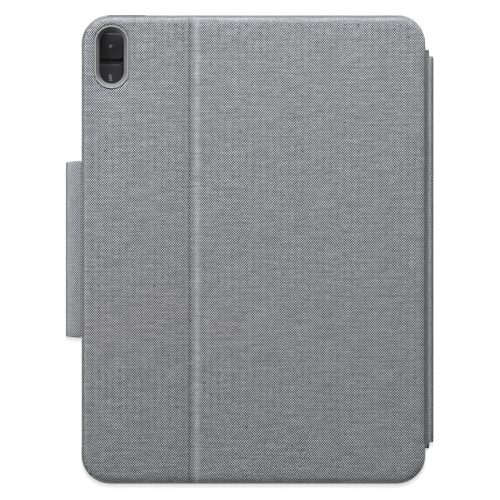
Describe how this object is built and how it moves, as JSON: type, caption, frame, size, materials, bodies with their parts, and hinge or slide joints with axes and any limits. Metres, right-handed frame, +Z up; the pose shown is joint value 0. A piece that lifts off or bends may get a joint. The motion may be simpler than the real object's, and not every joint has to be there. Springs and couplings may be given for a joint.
{
  "type": "tablet keyboard case",
  "caption": "Woven folding tablet case with a keyboard, tablet tray, camera window, easel back panel, hinged spine and side flap for a pen.",
  "frame": {"origin": "middle of the part's box on the desk, under the closed case", "axes": "+X across the case to the spine, +Y along it towards the camera window, +Z up out of the woven back"},
  "size_m": [0.2004, 0.2556, 0.0221],
  "materials": {
    "fabric": "heathered weave",
    "tray": "smooth soft-touch",
    "bezel": "smooth",
    "deck": "fine texture",
    "keys": "matte",
    "lining": "brushed",
    "board": "pressed",
    "rubber": "smooth",
    "steel": "plain",
    "magnet": "plated",
    "circuit": "solder mask",
    "film": "clear film",
    "light": "frosted"
  },
  "bodies": {
    "keyboard": {"base_fabric": "fabric", "base_shell": "tray", "key_back_plate": "steel", "membrane_sheet": "film", "controller_board": "circuit", "flex_tail": "film", "dock_magnet_left": "magnet", "dock_magnet_right": "magnet", "latch_plate": "steel", "key_deck": "deck", "rear_deck": "deck", "dock_rail": "rubber", "deck_bumper_left": "rubber", "deck_bumper_right": "rubber", "status_light": "light", "battery_contact": "steel"},
    "battery_holder": {"battery_drawer": "deck", "coin_cell_outer": "steel", "coin_cell_inner": "steel"},
    "power_slider": {"power_switch": "keys"},
    "dock_rod_body": {"dock_rod": "steel"},
    "tablet_holder": {"tablet_tray": "tray", "bay_lining": "lining", "upper_board": "board", "upper_fabric": "fabric", "camera_bezel": "bezel", "fold_strip": "rubber"},
    "prop_panel": {"prop_lining": "lining", "prop_board": "board", "prop_fabric": "fabric", "prop_magnet_upper": "magnet", "prop_magnet_lower": "magnet"},
    "spine": {"spine_board": "board", "spine_fabric": "fabric", "upper_hinge_strip": "rubber", "lower_hinge_strip": "rubber"},
    "flap_root": {"flap_top": "fabric"},
    "flap_latch": {"flap_side": "fabric", "flap_magnet": "magnet"},
    "shortcut_keys_body": {"shortcut_keys": "keys"},
    "number_keys_body": {"number_keys": "keys"},
    "delete_key_body": {"delete_key": "keys"},
    "tab_key_body": {"tab_key": "keys"},
    "upper_letter_keys_body": {"upper_letter_keys": "keys"},
    "caps_key_body": {"caps_key": "keys"},
    "home_letter_keys_body": {"home_letter_keys": "keys"},
    "return_key_body": {"return_key": "keys"},
    "left_shift_key_body": {"left_shift_key": "keys"},
    "lower_letter_keys_body": {"lower_letter_keys": "keys"},
    "right_shift_key_body": {"right_shift_key": "keys"},
    "left_modifier_keys_body": {"left_modifier_keys": "keys"},
    "space_key_body": {"space_key": "keys"},
    "right_modifier_keys_body": {"right_modifier_keys": "keys"},
    "left_arrow_key_body": {"left_arrow_key": "keys"},
    "down_arrow_key_body": {"down_arrow_key": "keys"},
    "up_arrow_key_body": {"up_arrow_key": "keys"},
    "right_arrow_key_body": {"right_arrow_key": "keys"}
  },
  "joints": [
    {"name": "tray_slide", "type": "slide", "parent": "keyboard", "child": "dock_rod_body", "axis": [-1, 0, 0], "range_m": [0, 0.07611]},
    {"name": "tray_tilt", "type": "hinge", "parent": "dock_rod_body", "child": "tablet_holder", "pos_m": [0.09405, 0, 0.0113], "axis": [0, 1, 0], "range_deg": [0, 110.82]},
    {"name": "easel_fold", "type": "hinge", "parent": "tablet_holder", "child": "prop_panel", "pos_m": [-0.03119, 0, 0.0219], "axis": [0, 1, 0], "range_deg": [-40.35, 0]},
    {"name": "spine_fold", "type": "hinge", "parent": "keyboard", "child": "spine", "pos_m": [0.0968, 0, 0.0036], "axis": [0, 1, 0], "range_deg": [0, 90.1]},
    {"name": "flap_lift", "type": "hinge", "parent": "tablet_holder", "child": "flap_root", "pos_m": [-0.0914, 0, 0.0212], "axis": [0, 1, 0], "range_deg": [0, 110]},
    {"name": "flap_unwrap", "type": "hinge", "parent": "flap_root", "child": "flap_latch", "pos_m": [-0.1002, 0, 0.0212], "axis": [0, 1, 0], "range_deg": [0, 80]},
    {"name": "battery_slide", "type": "slide", "parent": "keyboard", "child": "battery_holder", "axis": [0, -1, 0], "range_m": [0, 0.044]},
    {"name": "power_slide", "type": "slide", "parent": "keyboard", "child": "power_slider", "axis": [1, 0, 0], "range_m": [0, 0.003]},
    {"name": "press_shortcut_keys", "type": "slide", "parent": "keyboard", "child": "shortcut_keys_body", "axis": [0, 0, -1], "range_m": [0, 0.0014], "stiffness_N_per_m": 250, "springref_m": -0.001},
    {"name": "press_number_keys", "type": "slide", "parent": "keyboard", "child": "number_keys_body", "axis": [0, 0, -1], "range_m": [0, 0.0014], "stiffness_N_per_m": 250, "springref_m": -0.001},
    {"name": "press_delete_key", "type": "slide", "parent": "keyboard", "child": "delete_key_body", "axis": [0, 0, -1], "range_m": [0, 0.0014], "stiffness_N_per_m": 250, "springref_m": -0.001},
    {"name": "press_tab_key", "type": "slide", "parent": "keyboard", "child": "tab_key_body", "axis": [0, 0, -1], "range_m": [0, 0.0014], "stiffness_N_per_m": 250, "springref_m": -0.001},
    {"name": "press_upper_letter_keys", "type": "slide", "parent": "keyboard", "child": "upper_letter_keys_body", "axis": [0, 0, -1], "range_m": [0, 0.0014], "stiffness_N_per_m": 250, "springref_m": -0.001},
    {"name": "press_caps_key", "type": "slide", "parent": "keyboard", "child": "caps_key_body", "axis": [0, 0, -1], "range_m": [0, 0.0014], "stiffness_N_per_m": 250, "springref_m": -0.001},
    {"name": "press_home_letter_keys", "type": "slide", "parent": "keyboard", "child": "home_letter_keys_body", "axis": [0, 0, -1], "range_m": [0, 0.0014], "stiffness_N_per_m": 250, "springref_m": -0.001},
    {"name": "press_return_key", "type": "slide", "parent": "keyboard", "child": "return_key_body", "axis": [0, 0, -1], "range_m": [0, 0.0014], "stiffness_N_per_m": 250, "springref_m": -0.001},
    {"name": "press_left_shift_key", "type": "slide", "parent": "keyboard", "child": "left_shift_key_body", "axis": [0, 0, -1], "range_m": [0, 0.0014], "stiffness_N_per_m": 250, "springref_m": -0.001},
    {"name": "press_lower_letter_keys", "type": "slide", "parent": "keyboard", "child": "lower_letter_keys_body", "axis": [0, 0, -1], "range_m": [0, 0.0014], "stiffness_N_per_m": 250, "springref_m": -0.001},
    {"name": "press_right_shift_key", "type": "slide", "parent": "keyboard", "child": "right_shift_key_body", "axis": [0, 0, -1], "range_m": [0, 0.0014], "stiffness_N_per_m": 250, "springref_m": -0.001},
    {"name": "press_left_modifier_keys", "type": "slide", "parent": "keyboard", "child": "left_modifier_keys_body", "axis": [0, 0, -1], "range_m": [0, 0.0014], "stiffness_N_per_m": 250, "springref_m": -0.001},
    {"name": "press_space_key", "type": "slide", "parent": "keyboard", "child": "space_key_body", "axis": [0, 0, -1], "range_m": [0, 0.0014], "stiffness_N_per_m": 250, "springref_m": -0.001},
    {"name": "press_right_modifier_keys", "type": "slide", "parent": "keyboard", "child": "right_modifier_keys_body", "axis": [0, 0, -1], "range_m": [0, 0.0014], "stiffness_N_per_m": 250, "springref_m": -0.001},
    {"name": "press_left_arrow_key", "type": "slide", "parent": "keyboard", "child": "left_arrow_key_body", "axis": [0, 0, -1], "range_m": [0, 0.0014], "stiffness_N_per_m": 250, "springref_m": -0.001},
    {"name": "press_down_arrow_key", "type": "slide", "parent": "keyboard", "child": "down_arrow_key_body", "axis": [0, 0, -1], "range_m": [0, 0.0014], "stiffness_N_per_m": 250, "springref_m": -0.001},
    {"name": "press_up_arrow_key", "type": "slide", "parent": "keyboard", "child": "up_arrow_key_body", "axis": [0, 0, -1], "range_m": [0, 0.0014], "stiffness_N_per_m": 250, "springref_m": -0.001},
    {"name": "press_right_arrow_key", "type": "slide", "parent": "keyboard", "child": "right_arrow_key_body", "axis": [0, 0, -1], "range_m": [0, 0.0014], "stiffness_N_per_m": 250, "springref_m": -0.001}
  ],
  "couplings": [
    {"joint": "tray_slide", "follows": "tray_tilt", "m_per_rad": 0.039297},
    {"joint": "easel_fold", "follows": "tray_tilt", "ratio": -0.36324},
    {"joint": "spine_fold", "follows": "tray_tilt", "ratio": 0.81214}
  ]
}
